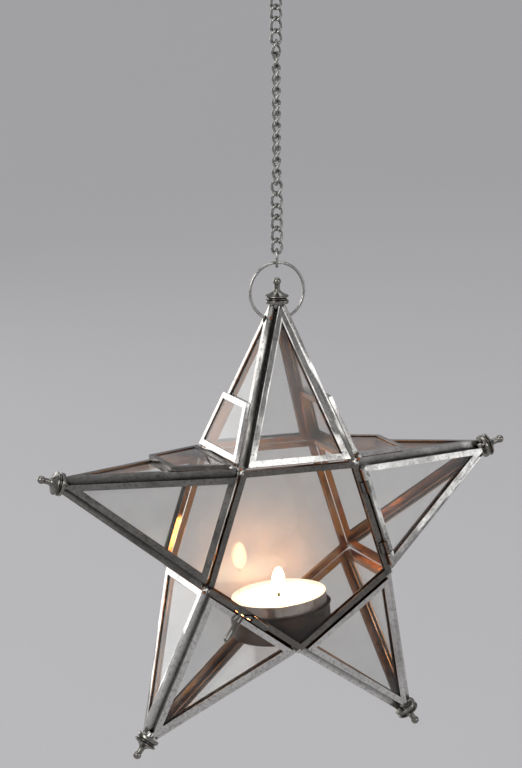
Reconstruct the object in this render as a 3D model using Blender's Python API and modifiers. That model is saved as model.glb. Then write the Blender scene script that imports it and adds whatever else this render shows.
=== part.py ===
"""Hanging star lantern: a five-pointed glass star on a curb chain, with a tealight inside.

The star is built from flat glass panes, each held in its own metal channel. The channels of
one point are soldered together along the point's ridges, a pentagon at the back closes the
body, and a pentagon door at the front gives access to the candle.
Metres, +Z up, the star's front looks along -Y. The origin is the top of the hook.
"""

import math

import bmesh
import bpy
from mathutils import Matrix, Vector

MM = 0.001

# Star: where the planes of the glass faces meet, measured from the star's centre
POINTS = 5
NOTCH_RADIUS = 41.8 * MM
POINT_RADIUS = 102.6 * MM

# Metal channel round each pane, and the round solder tip that ends each point
CHANNEL_DEPTH = 3.2 * MM
CHANNEL_FACE = 2.4 * MM
CHANNEL_WEB = 0.4 * MM
CHANNEL_FLANGE = 0.45 * MM
CHANNEL_END_HALF = 0.22 * MM
GLASS_PLAY = 0.15 * MM
GLASS_COVER = 0.5 * MM
SOLDER_LAP = 0.12 * MM
SEAM = 0.3 * MM
DOOR_INSET = 0.7 * MM
TIP_RADIUS = 2.0 * MM
TIP_ROOT = 1.6 * MM

# Vent hoods over the notch end of four side faces
VENT_LENGTH = 22.4 * MM
HOOD_START = 1.8 * MM
HOOD_INSET = 2.9 * MM
HOOD_HEIGHT = 1.9 * MM
HOOD_CHANNEL = 1.5 * MM
HOOD_FLANGE = 0.3 * MM
HOOD_PLAY = 0.1 * MM
HOOD_WALL = 0.6 * MM

# Finial on each point, from the cap that sits on the solder tip up to the ball
FINIAL_SEAT_GAP = 0.3 * MM
FINIAL_BORE_DEPTH = 1.4 * MM
FINIAL_BORE_PLAY = 0.3 * MM
FINIAL_CAP_RADIUS = 4.6 * MM
FINIAL_CAP_HEIGHT = 1.3 * MM
FINIAL_GROOVE_RADIUS = 3.9 * MM
FINIAL_GROOVE_HEIGHT = 1.0 * MM
FINIAL_FLANGE_RADIUS = 4.65 * MM
FINIAL_FLANGE_HEIGHT = 0.5 * MM
FINIAL_FLARE_HEIGHT = 2.6 * MM
FINIAL_NECK_RADIUS = 1.25 * MM
FINIAL_NECK_HEIGHT = 1.6 * MM
FINIAL_BALL_RADIUS = 1.6 * MM
FINIAL_ROUND = 0.3 * MM

# Hook, chain, joining link and ring
HOOK_WIRE = 0.9 * MM
HOOK_RADIUS = 7.0 * MM
EYE_RADIUS = 3.5 * MM
HOOK_SPAN = 13.0 * MM
HOOK_END = math.radians(205)
EYE_OPENING = math.radians(68)
LINK_WIRE = 0.6 * MM
LINK_HALF_LENGTH = 2.85 * MM
LINK_HALF_WIDTH = 1.9 * MM
LINK_TWIST = math.radians(45)
LINKS_PER_SEGMENT = 3
SEGMENTS = 8
LINK_GAP = 0.3 * MM
LINK_LAP = 0.15 * MM
TURN_LINKS = (6.2, 18.0)
TURN_SPREAD = 3.0
OVAL_POWER = 0.8
JOINING_HALF_LENGTH = 3.3 * MM
JOINING_HALF_WIDTH = 2.0 * MM
RING_RADIUS = 11.3 * MM
RING_WIRE = 0.62 * MM
RING_CUT = 0.5 * MM
RING_CUT_ANGLE = math.radians(78)
RING_HOLE_PLAY = 0.8 * MM
RING_HOLE_WALL = 0.6 * MM

# Candle cup, soldered askew on the bottom notch, and the tealight in it
CUP_TILT = math.radians(5.8)
CUP_SHIFT = 1.6 * MM
CUP_FLOOR = 0.6 * MM
CUP_WALL = 0.5 * MM
CUP_HEIGHT = 11.3 * MM
CUP_RIM = 0.6 * MM
CUP_LIP = 0.5 * MM
CUP_SEAT_GAP = 0.3 * MM
CUP_SIDE_GAP = 0.4 * MM
TEALIGHT_RADIUS = 19.0 * MM
TEALIGHT_HEIGHT = 14.8 * MM
TEALIGHT_WALL = 0.35 * MM
TEALIGHT_PLAY = 0.4 * MM
WAX_BELOW_RIM = 1.2 * MM
WAX_PLAY = 0.2 * MM
WICK_RADIUS = 0.65 * MM
WICK_HEIGHT = 4.2 * MM
WICK_DEPTH = 6.0 * MM

# Door hinge along the upper right edge of the front pentagon
HINGE_RADIUS = 0.9 * MM
HINGE_PIN_RADIUS = 0.4 * MM
HINGE_PLAY = 0.15 * MM
HINGE_STAND = 0.2 * MM
HINGE_END = 3.6 * MM
HINGE_KNUCKLE = 5.0 * MM
HINGE_GAP = 0.3 * MM
HINGE_PIN_PROUD = 0.8 * MM
LEAF_WIDTH = 2.4 * MM
LEAF_THICK = 0.6 * MM
LEAF_LAP = 0.1 * MM
LEAF_SHOULDER = 0.2 * MM

# Door pull along the lower left edge: two barrels and a swinging wire loop
BARREL_RADIUS = 1.4 * MM
BARREL_BORE_PLAY = 0.15 * MM
BARREL_LAP = 0.25 * MM
BARREL_INSET = 1.3 * MM
BARREL_END = 0.6 * MM
BARREL_SHORT = 7.5 * MM
PULL_PLACE = 6.5 * MM
PULL_SPAN = 8.8 * MM
PULL_WIRE = 0.5 * MM
PULL_LENGTH = 12.8 * MM
PULL_HALF_WIDTH = 0.85 * MM
PULL_STRAIGHT = 1.0 * MM
PULL_SHOULDER = 1.3 * MM
PULL_HOLD = 2.5 * MM

# Steps of the round shapes, and how large the joint axes are drawn
WIRE_STEPS = 2
LINK_STEPS = 1
LINK_POINTS = 12
JOINING_POINTS = 16
FINIAL_STEPS = 20
FLARE_STEPS = 4
CUP_STEPS = 40
WICK_STEPS = 12
WELD = 0.001 * MM
AXIS_SIZE = 5.0 * MM

STEEL = (0.62, 0.61, 0.58, 1.0)
DARK_METAL = (0.16, 0.15, 0.14, 1.0)
GLASS = (0.55, 0.56, 0.55, 1.0)
ALUMINIUM = (0.80, 0.80, 0.82, 1.0)
WAX = (0.90, 0.83, 0.70, 1.0)
COTTON = (0.10, 0.09, 0.08, 1.0)

# Worked out from the sizes above: the star is just deep enough for the candle cup's rim
CUP_RIM_RADIUS = TEALIGHT_RADIUS + TEALIGHT_PLAY + CUP_WALL + CUP_RIM
HALF_DEPTH = CUP_RIM_RADIUS + CUP_SIDE_GAP + CHANNEL_DEPTH - CHANNEL_FLANGE - GLASS_PLAY
EDGE_ANGLE = math.pi / POINTS
BASE_HEIGHT = NOTCH_RADIUS * math.cos(EDGE_ANGLE)
BASE_HALF = NOTCH_RADIUS * math.sin(EDGE_ANGLE)
RISE = POINT_RADIUS - BASE_HEIGHT
FACE_SLANT = math.hypot(RISE, HALF_DEPTH)
SIDE_SLANT = math.hypot(RISE, BASE_HALF)
GLASS_THICK = CHANNEL_DEPTH - 2 * (CHANNEL_FLANGE + GLASS_PLAY)
HOOD_GLASS = HOOD_CHANNEL - 2 * (HOOD_FLANGE + HOOD_PLAY)
RIDGE_TURN = math.acos(HALF_DEPTH * BASE_HALF / (FACE_SLANT * SIDE_SLANT))
RIDGE_INSET = CHANNEL_DEPTH * math.tan(RIDGE_TURN / 2) - SOLDER_LAP
FRONT_TURN = math.atan2(HALF_DEPTH, RISE)
FRONT_BASE_INSET = CHANNEL_DEPTH * math.tan(FRONT_TURN / 2) + SEAM / 2
NOTCH_HALF = EDGE_ANGLE + math.atan2(BASE_HALF, RISE)
SIDE_BASE_INSET = SEAM / 2 / math.sin(NOTCH_HALF)
SIDE_LEAN = math.atan2(HALF_DEPTH, SIDE_SLANT)
FRONT_LEAN = math.atan2(BASE_HALF, FACE_SLANT)
FRAME_END = (RIDGE_INSET + CHANNEL_END_HALF) / math.sin(min(SIDE_LEAN, FRONT_LEAN))
FRAME_TOP = POINT_RADIUS - FRAME_END * RISE / max(FACE_SLANT, SIDE_SLANT)
CAP_BOTTOM = FRAME_TOP + FINIAL_SEAT_GAP
TIP_TOP = CAP_BOTTOM + FINIAL_BORE_DEPTH - FINIAL_SEAT_GAP
FINIAL_BORE_RADIUS = TIP_RADIUS + FINIAL_BORE_PLAY
RING_HOLE_RADIUS = RING_WIRE + RING_HOLE_PLAY
RING_HOLE_DROP = (RIDGE_INSET + RING_HOLE_RADIUS + RING_HOLE_WALL) / math.sin(SIDE_LEAN)
RING_HOLE_HEIGHT = POINT_RADIUS - RING_HOLE_DROP * RISE / SIDE_SLANT
RING_HOLE_END = RING_HOLE_DROP + RING_HOLE_RADIUS * SIDE_SLANT / RISE + SEAM
HINGE_REACH = BASE_HALF - HINGE_END
BARREL_A = (PULL_PLACE + PULL_SPAN / 2, BASE_HALF - BARREL_END)
BARREL_B = (PULL_PLACE - PULL_SPAN / 2 - BARREL_SHORT, PULL_PLACE - PULL_SPAN / 2)
EYE_BOTTOM = -HOOK_RADIUS - HOOK_WIRE - HOOK_SPAN - EYE_RADIUS

# Directions of the five points, anticlockwise from the top as seen from the front
POINT_NAMES = ("top", "left", "lower_left", "lower_right", "right")
POINT_ANGLES = {name: math.pi / 2 + 2 * index * EDGE_ANGLE for index, name in enumerate(POINT_NAMES)}
HOODED = (("top", "left"), ("top", "right"), ("left", "right"), ("right", "left"))

# What a point's left and right sides, looking out along the point, are called on the star
SIDE_NAMES = {"left": {"left": "lower", "right": "upper"}, "right": {"left": "upper", "right": "lower"},
              "lower_left": {"left": "inner", "right": "outer"},
              "lower_right": {"left": "outer", "right": "inner"}}


def clear_scene():
    """Remove every object that the scene starts with."""
    for thing in list(bpy.data.objects):
        bpy.data.objects.remove(thing)


def make_material(name, colour, metallic, roughness):
    """Principled material of one colour."""
    material = bpy.data.materials.new(name)
    material.use_nodes = True
    shader = material.node_tree.nodes["Principled BSDF"]
    shader.inputs["Base Color"].default_value = colour
    shader.inputs["Metallic"].default_value = metallic
    shader.inputs["Roughness"].default_value = roughness
    material.diffuse_color = colour
    return material


def new_object(name, data, matrix=None):
    """Object in the lantern's collection, placed by a matrix."""
    thing = bpy.data.objects.new(name, data)
    LANTERN.objects.link(thing)
    if matrix is not None:
        thing.matrix_world = matrix
    return thing


def new_empty(name, matrix, parent=None):
    """Empty that carries the pieces of one moving body."""
    empty = new_object(name, None, matrix)
    empty.empty_display_size = AXIS_SIZE
    if parent is not None:
        carry(empty, parent)
    return empty


def carry(thing, parent):
    """Parent a piece and keep it where it is."""
    bpy.context.view_layer.update()
    world = thing.matrix_world.copy()
    thing.parent = parent
    thing.matrix_parent_inverse = parent.matrix_world.inverted()
    thing.matrix_world = world


def evaluated_mesh(thing):
    """Mesh of an object with its modifiers applied."""
    bpy.context.view_layer.update()
    graph = bpy.context.evaluated_depsgraph_get()
    return bpy.data.meshes.new_from_object(thing.evaluated_get(graph))


def weld(mesh):
    """Weld a mesh's seams and turn all its faces outward."""
    shape = bmesh.new()
    shape.from_mesh(mesh)
    bmesh.ops.remove_doubles(shape, verts=shape.verts, dist=WELD)
    bmesh.ops.recalc_face_normals(shape, faces=shape.faces)
    shape.to_mesh(mesh)
    shape.free()
    return mesh


def curve_to_solid(thing):
    """Turn a curve object into a mesh object with welded caps."""
    mesh = weld(evaluated_mesh(thing))
    name = thing.name
    matrix = thing.matrix_world.copy()
    bpy.data.objects.remove(thing)
    return new_object(name, mesh, matrix)


def plate(name, outlines, outer, inner, matrix):
    """Flat piece between two depths under a plane, from an outline and its holes."""
    curve = bpy.data.curves.new(name, 'CURVE')
    curve.dimensions = '2D'
    curve.fill_mode = 'BOTH'
    curve.extrude = (inner - outer) / 2
    for outline in outlines:
        spline = curve.splines.new('POLY')
        spline.points.add(len(outline) - 1)
        for point, (x, y) in zip(spline.points, outline):
            point.co = (x, y, 0, 1)
        spline.use_cyclic_u = True
    middle = Matrix.Translation((0, 0, -(outer + inner) / 2))
    return curve_to_solid(new_object(name, curve, matrix @ middle))


def wire(name, points, radius, closed=False, matrix=Matrix(), steps=WIRE_STEPS):
    """Round wire along a row of points."""
    curve = bpy.data.curves.new(name, 'CURVE')
    curve.dimensions = '3D'
    curve.bevel_depth = radius
    curve.bevel_resolution = steps
    curve.use_fill_caps = not closed
    spline = curve.splines.new('POLY')
    spline.points.add(len(points) - 1)
    for point, place in zip(spline.points, points):
        point.co = (*place, 1)
    spline.use_cyclic_u = closed
    return curve_to_solid(new_object(name, curve, matrix))


def rod(name, radius, start, end, matrix, sides=16):
    """Straight cylinder between two points on the X axis of a matrix."""
    mesh = bpy.data.meshes.new(name)
    shape = bmesh.new()
    bmesh.ops.create_cone(shape, cap_ends=True, segments=sides, radius1=radius, radius2=radius,
                          depth=end - start, matrix=Matrix.Rotation(math.pi / 2, 4, 'Y'))
    shape.to_mesh(mesh)
    shape.free()
    return new_object(name, mesh, matrix @ Matrix.Translation(((start + end) / 2, 0, 0)))


def turned(name, profile, matrix, steps):
    """Solid of revolution about Z, from a profile that starts and ends on the axis."""
    mesh = bpy.data.meshes.new(name)
    edges = [(index, index + 1) for index in range(len(profile) - 1)]
    mesh.from_pydata([(x, 0, z) for x, z in profile], edges, [])
    thing = new_object(name, mesh, matrix)
    screw = thing.modifiers.new("turn", 'SCREW')
    screw.steps = steps
    screw.render_steps = steps
    screw.use_merge_vertices = True
    screw.merge_threshold = WELD
    thing.data = weld(evaluated_mesh(thing))
    thing.modifiers.clear()
    return thing


def combine(base, tool, operation):
    """Join a tool to a piece, or cut it out of the piece, and drop the tool."""
    boolean = base.modifiers.new("combine", 'BOOLEAN')
    boolean.operation = operation
    boolean.solver = 'EXACT'
    boolean.object = tool
    mesh = evaluated_mesh(base)
    base.modifiers.clear()
    base.data = mesh
    bpy.data.objects.remove(tool)
    return base


def finish(thing, material, parent, smooth=False):
    """Give a finished piece its material and its carrier."""
    thing.data.materials.clear()
    thing.data.materials.append(material)
    if smooth:
        thing.data.shade_smooth()
        thing.data.set_sharp_from_angle(angle=math.radians(35))
    carry(thing, parent)
    return thing


def point_matrix(name):
    """Matrix of a point: Z out along the point, Y to the star's back."""
    return STAR @ Matrix.Rotation(math.pi / 2 - POINT_ANGLES[name], 4, 'Y')


def face_name(point, side):
    """Name of one side of a point, as seen on the whole star."""
    return point + "_point_" + SIDE_NAMES.get(point, {}).get(side, side)


def point_faces():
    """The four faces of a point: name, matrix, half base, slant, base inset, widest channel."""
    side_widest = HALF_DEPTH - CHANNEL_DEPTH - SEAM
    faces = []
    front = (BASE_HALF, FRONT_BASE_INSET, BASE_HALF)
    side = (HALF_DEPTH, SIDE_BASE_INSET, side_widest)
    rows = (("front", (1, 0, 0), (0, HALF_DEPTH, RISE), (0, -HALF_DEPTH), front),
            ("back", (-1, 0, 0), (0, -HALF_DEPTH, RISE), (0, HALF_DEPTH), front),
            ("right", (0, 1, 0), (-BASE_HALF, 0, RISE), (BASE_HALF, 0), side),
            ("left", (0, -1, 0), (BASE_HALF, 0, RISE), (-BASE_HALF, 0), side))
    for name, along, climb, (x, y), (half_base, base_inset, widest) in rows:
        across = Vector(along)
        slope = Vector(climb)
        slant = slope.length
        slope.normalize()
        turn = Matrix((across, slope, across.cross(slope))).transposed().to_4x4()
        matrix = Matrix.Translation((x, y, BASE_HEIGHT)) @ turn
        faces.append((name, matrix, half_base, slant, base_inset, widest))
    return faces


def taper(half_base, slant, bottom, top, inset, widest=math.inf):
    """Outline of a triangular face between two heights, drawn in from both ridges."""
    lean = math.atan2(half_base, slant)
    apex = slant - inset / math.sin(lean)
    low = (apex - bottom) * math.tan(lean)
    right = [(min(low, widest), bottom)]
    if low > widest:
        right.append((widest, apex - widest / math.tan(lean)))
    tip = [(0, apex)]
    if top < apex:
        right.append(((apex - top) * math.tan(lean), top))
        tip = []
    return right + tip + [(-x, y) for x, y in reversed(right)]


def pentagon(inset):
    """Outline of the star's pentagon, drawn in from its edges."""
    radius = NOTCH_RADIUS - inset / math.cos(EDGE_ANGLE)
    corners = []
    for index in range(POINTS):
        angle = math.pi / 2 + EDGE_ANGLE + 2 * index * EDGE_ANGLE
        corners.append((radius * math.cos(angle), radius * math.sin(angle)))
    return corners


def channel_and_pane(name, outlines, groove, pane, matrix):
    """Channel frame with a groove for its glass, and the pane that sits in the groove."""
    frame = plate(name + "_frame", outlines, 0, CHANNEL_DEPTH, matrix)
    cutter = plate("groove", [groove], CHANNEL_FLANGE, CHANNEL_DEPTH - CHANNEL_FLANGE, matrix)
    combine(frame, cutter, 'DIFFERENCE')
    deep = CHANNEL_FLANGE + GLASS_PLAY
    glass = plate(name + "_pane", [pane], deep, deep + GLASS_THICK, matrix)
    return frame, glass


def face_pieces(point, face):
    """Channel frame and pane of one triangular face of a point."""
    side, local, half_base, slant, base_inset, widest = face
    hooded = (point, side) in HOODED
    matrix = point_matrix(point) @ local
    outlines = [taper(half_base, slant, base_inset, slant - FRAME_END, RIDGE_INSET, widest)]
    opening = RIDGE_INSET + CHANNEL_FACE
    floor = base_inset
    if hooded:
        outlines.append(taper(half_base, slant, base_inset + CHANNEL_FACE, VENT_LENGTH, opening))
        floor = VENT_LENGTH
    outlines.append(taper(half_base, slant, floor + CHANNEL_FACE, slant, opening))
    web = RIDGE_INSET + CHANNEL_WEB
    glass_end = opening / math.sin(math.atan2(half_base, slant)) - GLASS_COVER
    if point == "top" and side in ("left", "right"):
        glass_end = max(glass_end, RING_HOLE_END)
    groove_end = slant - glass_end
    widest -= CHANNEL_WEB
    groove = taper(half_base, slant, floor + CHANNEL_WEB, groove_end, web, widest)
    widest -= GLASS_PLAY
    pane_floor = floor + CHANNEL_WEB + GLASS_PLAY
    pane = taper(half_base, slant, pane_floor, groove_end - GLASS_PLAY, web + GLASS_PLAY, widest)
    frame, glass = channel_and_pane(face_name(point, side), outlines, groove, pane, matrix)
    finish(glass, GLASS_MATERIAL, STAR_BODY)
    return frame


def hinge_matrix():
    """X along the door hinge's axis, from the upper end down, Z away from the star's centre."""
    stand = HALF_DEPTH + HINGE_RADIUS + HINGE_STAND
    return point_matrix("right") @ Matrix.Translation((0, -stand, BASE_HEIGHT))


def drill(piece, radius, start, end, matrix):
    """Drill a round hole along the X axis of a matrix."""
    combine(piece, rod("bore", radius, start, end, matrix), 'DIFFERENCE')


def knuckle(base, start, end, leaf_matrix, outline):
    """Add one bored hinge knuckle and its leaf to a frame."""
    piece = rod("knuckle", HINGE_RADIUS, start, end, hinge_matrix())
    combine(piece, plate("leaf", [outline], -LEAF_THICK, LEAF_LAP, leaf_matrix), 'UNION')
    drill(piece, HINGE_PIN_RADIUS + HINGE_PLAY, start - SEAM, end + SEAM, hinge_matrix())
    combine(base, piece, 'UNION')


def leaf_outline(start, end, sign):
    """Outline of a hinge leaf on a face whose Y points away from, or to, the hinge."""
    near = -sign * SEAM / 2
    far = sign * LEAF_WIDTH
    low = start + LEAF_SHOULDER
    high = end - LEAF_SHOULDER
    return [(low, near), (high, near), (high, far), (low, far)]


def make_point(point, faces):
    """One point of the star: four soldered channel frames with their panes and the tip."""
    frames = [face_pieces(point, face) for face in faces]
    body = frames[0]
    for other in frames[1:]:
        combine(body, other, 'UNION')
    body.name = point + "_point_frame"
    upright = point_matrix(point) @ Matrix.Rotation(-math.pi / 2, 4, 'Y')
    combine(body, rod("tip", TIP_RADIUS, FRAME_TOP - TIP_ROOT, TIP_TOP, upright), 'UNION')
    if point == "top":
        height = STAR @ Matrix.Translation((0, 0, RING_HOLE_HEIGHT))
        drill(body, RING_HOLE_RADIUS, -BASE_HALF, BASE_HALF, height)
    if point == "right":
        front = point_matrix(point) @ faces[0][1]
        for start in (-HINGE_REACH, HINGE_REACH - HINGE_KNUCKLE):
            end = start + HINGE_KNUCKLE
            knuckle(body, start, end, front, leaf_outline(start, end, 1))
    finish(body, STEEL_MATERIAL, STAR_BODY)


def make_pentagon(name, matrix):
    """Pentagon channel frame and its pane."""
    opening = DOOR_INSET + CHANNEL_FACE
    web = DOOR_INSET + CHANNEL_WEB
    outlines = [pentagon(DOOR_INSET), pentagon(opening)]
    return channel_and_pane(name, outlines, pentagon(web), pentagon(web + GLASS_PLAY), matrix)


def make_back():
    """Back pentagon, soldered to the points."""
    matrix = STAR @ Matrix.Translation((0, HALF_DEPTH, 0)) @ Matrix.Rotation(-math.pi / 2, 4, 'X')
    matrix = matrix @ Matrix.Rotation(math.pi, 4, 'Z')
    frame, pane = make_pentagon("back", matrix)
    finish(frame, STEEL_MATERIAL, STAR_BODY)
    finish(pane, GLASS_MATERIAL, STAR_BODY)


def barrel_matrix():
    """X along the pull's axis, toward the left, Z away from the star's centre."""
    out = HALF_DEPTH + BARREL_RADIUS - BARREL_LAP
    return point_matrix("lower_left") @ Matrix.Translation((0, -out, BASE_HEIGHT - BARREL_INSET))


def make_door():
    """Front pentagon door with its hinge knuckles and the barrels of its pull."""
    front = STAR @ Matrix.Translation((0, -HALF_DEPTH, 0)) @ Matrix.Rotation(math.pi / 2, 4, 'X')
    frame, pane = make_pentagon("door", front)
    edge = point_matrix("right") @ Matrix.Translation((0, -HALF_DEPTH, BASE_HEIGHT))
    edge = edge @ Matrix.Rotation(math.pi / 2, 4, 'X')
    reach = HINGE_REACH - HINGE_KNUCKLE - HINGE_GAP
    for start in (-reach, reach - HINGE_KNUCKLE):
        end = start + HINGE_KNUCKLE
        knuckle(frame, start, end, edge, leaf_outline(start, end, -1))
    inner = (BARREL_B[1] - PULL_HOLD - SEAM, BARREL_A[0] + PULL_HOLD + SEAM)
    for start, end in (BARREL_A, BARREL_B):
        barrel = rod("barrel", BARREL_RADIUS, start, end, barrel_matrix())
        drill(barrel, PULL_WIRE + BARREL_BORE_PLAY, inner[0], inner[1], barrel_matrix())
        combine(frame, barrel, 'UNION')
    finish(frame, STEEL_MATERIAL, DOOR_BODY)
    finish(pane, GLASS_MATERIAL, DOOR_BODY)
    reach = HINGE_REACH + HINGE_PIN_PROUD
    pin = rod("door_hinge_pin", HINGE_PIN_RADIUS, -reach, reach, hinge_matrix(), sides=12)
    finish(pin, STEEL_MATERIAL, STAR_BODY, smooth=True)


def make_pull():
    """Wire loop that hangs from the two barrels of the door's pull."""
    left = BARREL_A[0]
    right = BARREL_B[1]
    middle = (left + right) / 2
    turn = PULL_LENGTH - PULL_HALF_WIDTH
    half = [(left + PULL_HOLD, 0), (left - PULL_STRAIGHT, 0), (middle + PULL_HALF_WIDTH, PULL_SHOULDER),
            (middle + PULL_HALF_WIDTH, turn)]
    points = [(x, 0, z) for x, z in half]
    for step in range(1, 6):
        angle = step * math.pi / 6
        across = PULL_HALF_WIDTH * math.cos(angle)
        points.append((middle + across, 0, turn + PULL_HALF_WIDTH * math.sin(angle)))
    points += [(2 * middle - x, 0, z) for x, z in reversed(half)]
    loop = wire("door_pull_loop", points, PULL_WIRE, matrix=barrel_matrix())
    finish(loop, STEEL_MATERIAL, PULL_BODY, smooth=True)


def make_hood(point, face):
    """Raised vent hood over the notch end of a side face: its frame and its pane."""
    side, local, half_base, slant, _, _ = face
    matrix = point_matrix(point) @ local @ Matrix.Translation((0, 0, HOOD_HEIGHT))
    top = VENT_LENGTH + CHANNEL_FACE
    depth = HOOD_HEIGHT - SEAM
    name = face_name(point, side) + "_hood"

    def outline(bottom, upper, inset):
        return taper(half_base, slant, bottom, upper, HOOD_INSET + inset)

    frame = plate(name + "_frame", [outline(HOOD_START, top, 0)], 0, depth, matrix)
    inside = outline(HOOD_START - 2 * CHANNEL_FACE, top - HOOD_WALL, HOOD_WALL)
    combine(frame, plate("hollow", [inside], HOOD_CHANNEL, 2 * depth, matrix), 'DIFFERENCE')
    opening = outline(HOOD_START + CHANNEL_FACE, top - CHANNEL_FACE, CHANNEL_FACE)
    combine(frame, plate("opening", [opening], -depth, 2 * depth, matrix), 'DIFFERENCE')
    groove = outline(HOOD_START + CHANNEL_WEB, top - CHANNEL_WEB, CHANNEL_WEB)
    cutter = plate("groove", [groove], HOOD_FLANGE, HOOD_CHANNEL - HOOD_FLANGE, matrix)
    combine(frame, cutter, 'DIFFERENCE')
    edge = CHANNEL_WEB + GLASS_PLAY
    pane = outline(HOOD_START + edge, top - edge, edge)
    deep = HOOD_FLANGE + HOOD_PLAY
    glass = plate(name + "_pane", [pane], deep, deep + HOOD_GLASS, matrix)
    finish(frame, STEEL_MATERIAL, STAR_BODY)
    finish(glass, GLASS_MATERIAL, STAR_BODY)


def arc(centre_x, centre_z, radius, start, end, steps):
    """Points along an arc in the XZ plane."""
    points = []
    for step in range(steps + 1):
        angle = start + (end - start) * step / steps
        points.append((centre_x + radius * math.cos(angle), centre_z + radius * math.sin(angle)))
    return points


def make_finial(point):
    """Turned finial on the tip of a point."""
    cap_top = CAP_BOTTOM + FINIAL_CAP_HEIGHT
    flange_bottom = cap_top + FINIAL_GROOVE_HEIGHT
    flange_top = flange_bottom + FINIAL_FLANGE_HEIGHT
    ball_bottom = flange_top + FINIAL_FLARE_HEIGHT + FINIAL_NECK_HEIGHT
    profile = arc(0, ball_bottom + FINIAL_BALL_RADIUS, FINIAL_BALL_RADIUS, math.pi / 2, -math.pi / 4, 6)
    profile.append((FINIAL_NECK_RADIUS, ball_bottom))
    for step in range(FLARE_STEPS + 1):
        fall = step / FLARE_STEPS
        radius = FINIAL_NECK_RADIUS + (FINIAL_FLANGE_RADIUS - FINIAL_NECK_RADIUS) * fall * fall
        profile.append((radius, flange_top + FINIAL_FLARE_HEIGHT * (1 - fall)))
    profile += [(FINIAL_FLANGE_RADIUS, flange_bottom),
                (FINIAL_GROOVE_RADIUS, flange_bottom - FINIAL_ROUND),
                (FINIAL_GROOVE_RADIUS, cap_top + FINIAL_ROUND),
                (FINIAL_CAP_RADIUS - FINIAL_ROUND, cap_top),
                (FINIAL_CAP_RADIUS, cap_top - FINIAL_ROUND),
                (FINIAL_CAP_RADIUS, CAP_BOTTOM + FINIAL_ROUND),
                (FINIAL_CAP_RADIUS - FINIAL_ROUND, CAP_BOTTOM),
                (FINIAL_BORE_RADIUS, CAP_BOTTOM),
                (FINIAL_BORE_RADIUS, CAP_BOTTOM + FINIAL_BORE_DEPTH),
                (0, CAP_BOTTOM + FINIAL_BORE_DEPTH)]
    finial = turned(point + "_finial", profile, point_matrix(point), FINIAL_STEPS)
    finish(finial, STEEL_MATERIAL, STAR_BODY, smooth=True)


def make_cup():
    """Candle cup, soldered on the bottom notch."""
    inner = TEALIGHT_RADIUS + TEALIGHT_PLAY
    outer = inner + CUP_WALL
    rim = CUP_RIM_RADIUS
    profile = [(0, CUP_FLOOR), (inner, CUP_FLOOR), (inner, CUP_HEIGHT - CUP_LIP),
               (rim - CUP_LIP, CUP_HEIGHT), (rim, CUP_HEIGHT - CUP_LIP / 2),
               (rim - CUP_LIP, CUP_HEIGHT - 1.5 * CUP_LIP), (outer, CUP_HEIGHT - 3 * CUP_LIP),
               (outer, CUP_FLOOR), (outer - CUP_FLOOR, 0), (0, 0)]
    finish(turned("candle_cup", profile, CUP, CUP_STEPS), DARK_MATERIAL, STAR_BODY, smooth=True)


def make_tealight():
    """Tealight: thin cup, wax with a hole for the wick, and the wick."""
    bore = TEALIGHT_RADIUS - TEALIGHT_WALL
    can = [(0, TEALIGHT_WALL), (bore, TEALIGHT_WALL), (bore, TEALIGHT_HEIGHT),
           (TEALIGHT_RADIUS, TEALIGHT_HEIGHT), (TEALIGHT_RADIUS, 0), (0, 0)]
    finish(turned("tealight_cup", can, CANDLE, CUP_STEPS), ALUMINIUM_MATERIAL, TEALIGHT_BODY, smooth=True)
    wax_radius = bore - WAX_PLAY
    wax_bottom = TEALIGHT_WALL + WAX_PLAY
    wax_top = TEALIGHT_HEIGHT - WAX_BELOW_RIM
    hole = WICK_RADIUS + WAX_PLAY
    hole_bottom = wax_top - WICK_DEPTH
    wax = [(0, hole_bottom), (hole, hole_bottom), (hole, wax_top), (wax_radius, wax_top),
           (wax_radius, wax_bottom), (0, wax_bottom)]
    finish(turned("tealight_wax", wax, CANDLE, CUP_STEPS), WAX_MATERIAL, TEALIGHT_BODY, smooth=True)
    top = wax_top + WICK_HEIGHT
    bottom = hole_bottom + WAX_PLAY
    wick = [(0, top), (WICK_RADIUS, top), (WICK_RADIUS, bottom), (0, bottom)]
    finish(turned("tealight_wick", wick, CANDLE, WICK_STEPS), COTTON_MATERIAL, TEALIGHT_BODY, smooth=True)


def make_hook():
    """S-shaped hook: an open hook above and a nearly closed eye below."""
    centre = -HOOK_RADIUS - HOOK_WIRE
    cross = math.asin((HOOK_RADIUS + EYE_RADIUS) / HOOK_SPAN)
    eye_start = math.pi - cross
    path = arc(0, centre, HOOK_RADIUS, HOOK_END, -cross, 16)
    path += arc(0, centre - HOOK_SPAN, EYE_RADIUS, eye_start, eye_start + 2 * math.pi - EYE_OPENING, 14)
    square = Matrix.Rotation(hook_yaw(), 4, 'Z')
    hook = wire("hanging_hook", [(x, 0, z) for x, z in path], HOOK_WIRE, matrix=square)
    finish(hook, STEEL_MATERIAL, HOOK_BODY, smooth=True)


def hanging(upper_crown, upper_wire, lower_wire, gap=LINK_GAP):
    """Height of a lower link's top crown, resting on an upper link's bottom crown."""
    return upper_crown + upper_wire + lower_wire + gap


def link_yaw(index):
    """Turn of a link about the chain, which twists a quarter turn at two places."""
    yaw = 0.0
    for centre in TURN_LINKS:
        share = min(max((index - centre) / TURN_SPREAD + 0.5, 0.0), 1.0)
        yaw += math.pi / 2 * share * share * (3 - 2 * share)
    return yaw


def hook_yaw():
    """Turn of the hook, whose eye crosses the first link's crown squarely."""
    return link_yaw(0) + LINK_TWIST - math.pi / 2


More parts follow.
